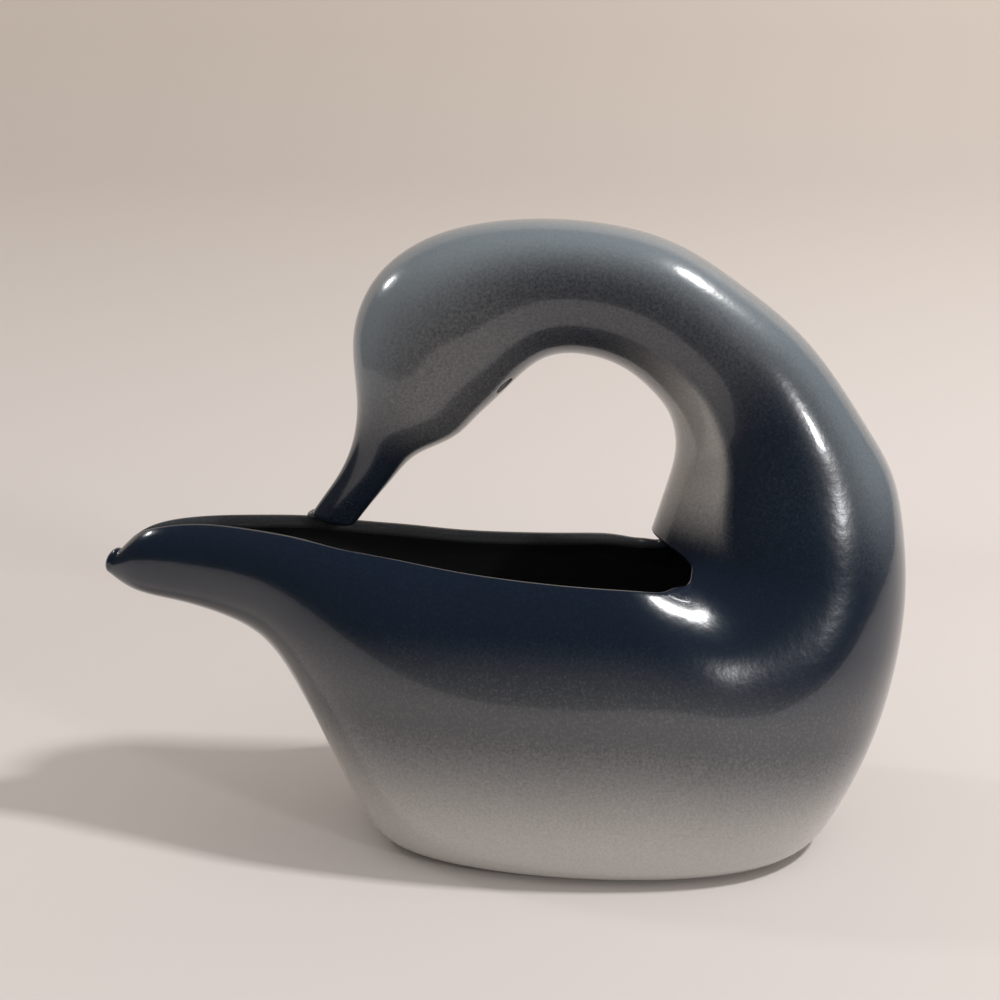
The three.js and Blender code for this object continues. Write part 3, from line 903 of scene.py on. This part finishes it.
class SWAN_OT_stage(bpy.types.Operator):
    """Make the floor, the backdrop, the lamps and the camera"""

    bl_idname = "swan.stage"
    bl_label = "Stage"

    def execute(self, context):
        self.make_sweep(context)
        self.make_lamps(context)
        self.make_room(context)
        self.make_camera(context)
        context.scene.view_settings.view_transform = "Standard"
        return {"FINISHED"}

    def make_lamps(self, context):
        for name, place, size, watts in LAMPS:
            light = bpy.data.lights.new(name, "AREA")
            light.energy = watts
            light.size = size
            lamp = bpy.data.objects.new(name, light)
            lamp.location = place
            aim = LAMP_TARGET - Vector(place)
            lamp.rotation_euler = aim.to_track_quat("-Z", "Y").to_euler()
            context.scene.collection.objects.link(lamp)

    def make_room(self, context):
        world = bpy.data.worlds.new("room")
        world.use_nodes = True
        nodes, links = world.node_tree.nodes, world.node_tree.links
        background = nodes["Background"]
        background.inputs["Color"].default_value = ROOM_COLOUR
        path = nodes.new("ShaderNodeLightPath")
        strength = nodes.new("ShaderNodeMapRange")
        strength.inputs["To Min"].default_value = ROOM_LIGHT
        strength.inputs["To Max"].default_value = ROOM_REFLECTION
        links.new(path.outputs["Is Glossy Ray"], strength.inputs["Value"])
        links.new(strength.outputs["Result"], background.inputs["Strength"])
        context.scene.world = world

    def make_camera(self, context):
        data = bpy.data.cameras.new("camera")
        data.lens = CAMERA_LENS
        data.sensor_width = SENSOR
        data.clip_start = 0.01
        camera = bpy.data.objects.new("camera", data)
        camera.location = CAMERA_PLACE
        camera.rotation_euler = (CAMERA_TILT, 0.0, 0.0)
        context.scene.collection.objects.link(camera)
        context.scene.camera = camera

    def make_sweep(self, context):
        """A floor that bends up into a wall behind the bowl."""
        foot, start = SWEEP_BACK - SWEEP_BEND, (SWEEP_FRONT, 0.0)
        bend = [(foot + SWEEP_BEND * math.sin(a), SWEEP_BEND - SWEEP_BEND * math.cos(a))
                for a in np.linspace(0, math.pi / 2, BEND_STEPS)]
        outline = [start, *bend, (SWEEP_BACK, SWEEP_TOP)]
        points = [(side * SWEEP_WIDTH / 2, y, z) for y, z in outline for side in (-1, 1)]
        faces = [(2 * i, 2 * i + 1, 2 * i + 3, 2 * i + 2) for i in range(len(outline) - 1)]
        mesh = bpy.data.meshes.new("floor")
        mesh.from_pydata(points, [], faces)
        mesh.polygons.foreach_set("use_smooth", [True] * len(mesh.polygons))
        mesh.materials.append(sweep_material())
        floor = bpy.data.objects.new("floor", mesh)
        context.scene.collection.objects.link(floor)


def sweep_material():
    """Pale floor that turns to the wall's colour with height."""
    material, nodes, links, shader = new_material("pale sweep")
    place = nodes.new("ShaderNodeTexCoord")
    split = nodes.new("ShaderNodeSeparateXYZ")
    links.new(place.outputs["Object"], split.inputs[0])
    ramp = nodes.new("ShaderNodeMapRange")
    ramp.inputs["From Max"].default_value = WALL_COLOUR_HEIGHT
    links.new(split.outputs["Z"], ramp.inputs["Value"])
    blend = nodes.new("ShaderNodeMix")
    blend.data_type = "RGBA"
    blend.inputs["A"].default_value = FLOOR_COLOUR
    blend.inputs["B"].default_value = WALL_COLOUR
    links.new(ramp.outputs["Result"], blend.inputs["Factor"])
    links.new(blend.outputs["Result"], shader.inputs["Base Color"])
    shader.inputs["Roughness"].default_value = 0.9
    return material


class SWAN_PT_panel(bpy.types.Panel):
    """Lists the swan bowl's operators, sizes and colours"""

    bl_idname = "SWAN_PT_panel"
    bl_label = "Swan Bowl"
    bl_space_type = "VIEW_3D"
    bl_region_type = "UI"
    bl_category = "Swan Bowl"

    def draw(self, context):
        for operator in OPERATORS:
            self.layout.operator(operator.bl_idname)
        for group in (context.scene.swan_form, context.scene.swan_glaze):
            for name in group.bl_rna.properties.keys():
                if name not in {"rna_type", "name"}:
                    self.layout.prop(group, name)


OPERATORS = (SWAN_OT_stage, SWAN_OT_bowl, SWAN_OT_neck, SWAN_OT_foot, SWAN_OT_glaze_drop)
CLASSES = (FormProperties, GlazeProperties, *OPERATORS, SWAN_PT_panel)


def register():
    for item in CLASSES:
        bpy.utils.register_class(item)
    bpy.types.Scene.swan_form = PointerProperty(type=FormProperties)
    bpy.types.Scene.swan_glaze = PointerProperty(type=GlazeProperties)


def unregister():
    del bpy.types.Scene.swan_glaze
    del bpy.types.Scene.swan_form
    for item in reversed(CLASSES):
        bpy.utils.unregister_class(item)


def main():
    register()
    bpy.ops.swan.stage()
    bpy.ops.swan.bowl()
    bpy.ops.swan.neck()
    bpy.ops.swan.foot()
    bpy.ops.swan.glaze_drop()


if __name__ == "__main__":
    main()
